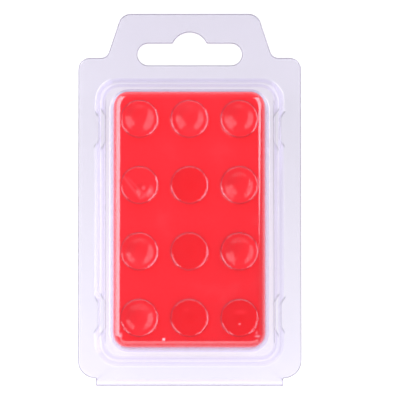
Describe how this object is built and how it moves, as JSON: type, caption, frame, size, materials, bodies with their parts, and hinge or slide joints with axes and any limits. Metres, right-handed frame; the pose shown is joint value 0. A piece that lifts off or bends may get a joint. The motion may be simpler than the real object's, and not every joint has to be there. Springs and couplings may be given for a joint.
{
  "type": "clay bar",
  "caption": "Rectangular detailing clay bar in a clear hinged clamshell with a dimpled pocket, a snap wall and a hang tab.",
  "frame": {"origin": "middle of the pack's back, on the surface that it lies on", "axes": "+Z out of the pack's front, +Y from the hinge towards the hang tab, +X across the pack"},
  "size_m": [0.068, 0.114, 0.022],
  "materials": {
    "clear_plastic": "clear thermoformed sheet",
    "red_clay": "smooth, satin, slightly tacky"
  },
  "bodies": {
    "back": {"back_shell": "clear_plastic", "hinge_back_leaf": "clear_plastic", "hinge_fold": "clear_plastic"},
    "lid": {"front_shell": "clear_plastic", "hinge_front_leaf": "clear_plastic"},
    "clay": {"clay_bar": "red_clay"}
  },
  "joints": [
    {"name": "lid_hinge", "type": "hinge", "parent": "back", "child": "lid", "pos_m": [0, -0.05635, 0.00065], "axis": [1, 0, 0], "range_deg": [0, 120], "deforming": ["hinge_fold"]},
    {"name": "clay_lift", "type": "slide", "parent": "lid", "child": "clay", "axis": [0, 0, -1], "range_m": [0, 0.016]}
  ],
  "couplings": [
    {"joint": "clay_lift", "follows": "lid_hinge", "m_per_rad": 0.0076}
  ]
}
